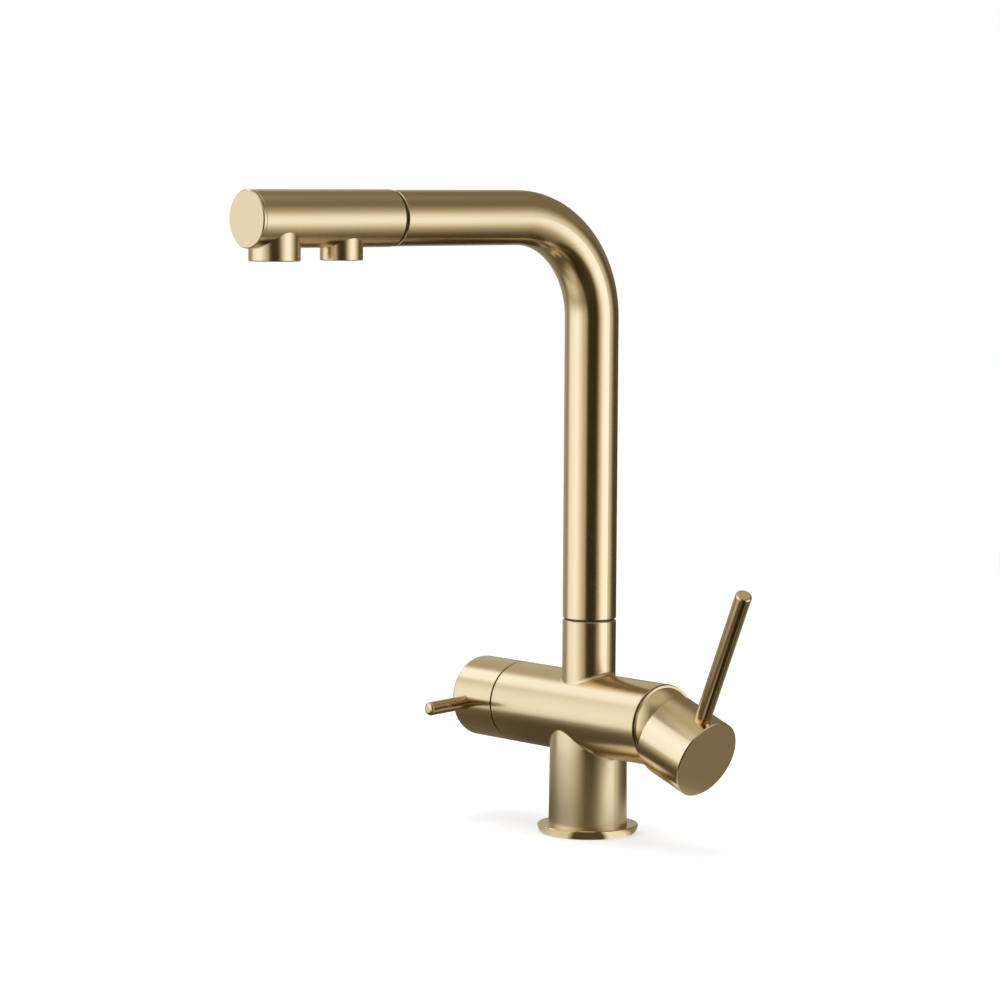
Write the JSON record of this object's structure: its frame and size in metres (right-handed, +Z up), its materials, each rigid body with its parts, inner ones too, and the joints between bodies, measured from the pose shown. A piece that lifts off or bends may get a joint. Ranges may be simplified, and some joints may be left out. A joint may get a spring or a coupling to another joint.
{
  "type": "three way filtered water tap",
  "caption": "Deck-mounted kitchen mixer tap with an L-shaped swivel spout, a side mixing lever, a quarter-turn filtered-water lever and separate outlets for mixed and filtered water.",
  "frame": {"origin": "centre of the base flange's underside, on the column's axis, at the height of the worktop", "axes": "+Z up along the column, -Y along the spout arm, +X towards the mixing lever"},
  "size_m": [0.2255, 0.2482, 0.3362],
  "materials": {
    "satin_gold": "fine satin brushed, gold coloured coating",
    "polished_gold": "polished, gold coloured coating",
    "plain_brass": "turned, uncoated",
    "black_rubber": "matte",
    "black_plastic": "smooth moulded",
    "white_plastic": "smooth moulded",
    "grey_plastic": "smooth moulded",
    "ceramic": "lapped",
    "steel": "turned"
  },
  "bodies": {
    "base": {"body_casting": "satin_gold", "base_flange": "polished_gold", "base_seal": "black_rubber", "swivel_washer": "black_plastic", "spout_retaining_screw": "steel", "cartridge_seals": "black_rubber", "cartridge_base": "grey_plastic", "cartridge_body": "grey_plastic", "cartridge_fixed_disc": "ceramic", "cartridge_nut": "plain_brass", "dome_cover": "satin_gold", "filter_valve_body": "plain_brass", "filter_valve_gasket": "black_rubber", "filter_fixed_disc": "ceramic"},
    "spout_assembly": {"spout_tube": "satin_gold", "spout_spigot": "plain_brass", "spout_o_rings": "black_rubber", "filter_tube": "white_plastic", "filter_tube_foot": "plain_brass", "filter_tube_o_ring": "black_rubber", "head_connector": "plain_brass", "head_gasket": "black_rubber", "head_shell": "satin_gold", "head_end_cap": "satin_gold", "head_waterway": "white_plastic", "main_aerator_housing": "plain_brass", "main_aerator_insert": "grey_plastic", "filter_aerator_housing": "plain_brass", "filter_aerator_insert": "grey_plastic"},
    "mixer_rotor": {"cartridge_turret": "grey_plastic", "cartridge_pivot_pin": "steel"},
    "mixer_slider": {"cartridge_disc_carrier": "grey_plastic", "cartridge_moving_disc": "ceramic"},
    "mixer_handle": {"cartridge_stem": "steel", "mixer_cap": "satin_gold", "mixer_lever": "polished_gold", "mixer_grub_screw": "steel"},
    "filter_handle": {"filter_valve_spindle": "plain_brass", "filter_rotor_disc": "ceramic", "filter_cap": "satin_gold", "filter_lever": "polished_gold", "filter_grub_screw": "steel"}
  },
  "joints": [
    {"name": "spout_swivel", "type": "hinge", "parent": "base", "child": "spout_assembly", "pos_m": [0, 0, 0.1123], "axis": [0, 0, 1], "continuous": true},
    {"name": "mixer_turn", "type": "hinge", "parent": "base", "child": "mixer_rotor", "pos_m": [0.0508, 0, 0.063], "axis": [1, 0, 0], "range_deg": [-64, 36]},
    {"name": "mixer_tilt", "type": "hinge", "parent": "mixer_rotor", "child": "mixer_handle", "pos_m": [0.0508, 0, 0.063], "axis": [0, 0.9703, 0.2419], "range_deg": [-25, 0]},
    {"name": "mixer_slide", "type": "slide", "parent": "mixer_rotor", "child": "mixer_slider", "axis": [0, -0.2419, 0.9703], "range_m": [-0.0037, 0]},
    {"name": "filter_turn", "type": "hinge", "parent": "base", "child": "filter_handle", "pos_m": [-0.076, 0, 0.063], "axis": [1, 0, 0], "range_deg": [-90, 0]}
  ],
  "couplings": [
    {"joint": "mixer_slide", "follows": "mixer_tilt", "m_per_rad": 0.0083}
  ]
}
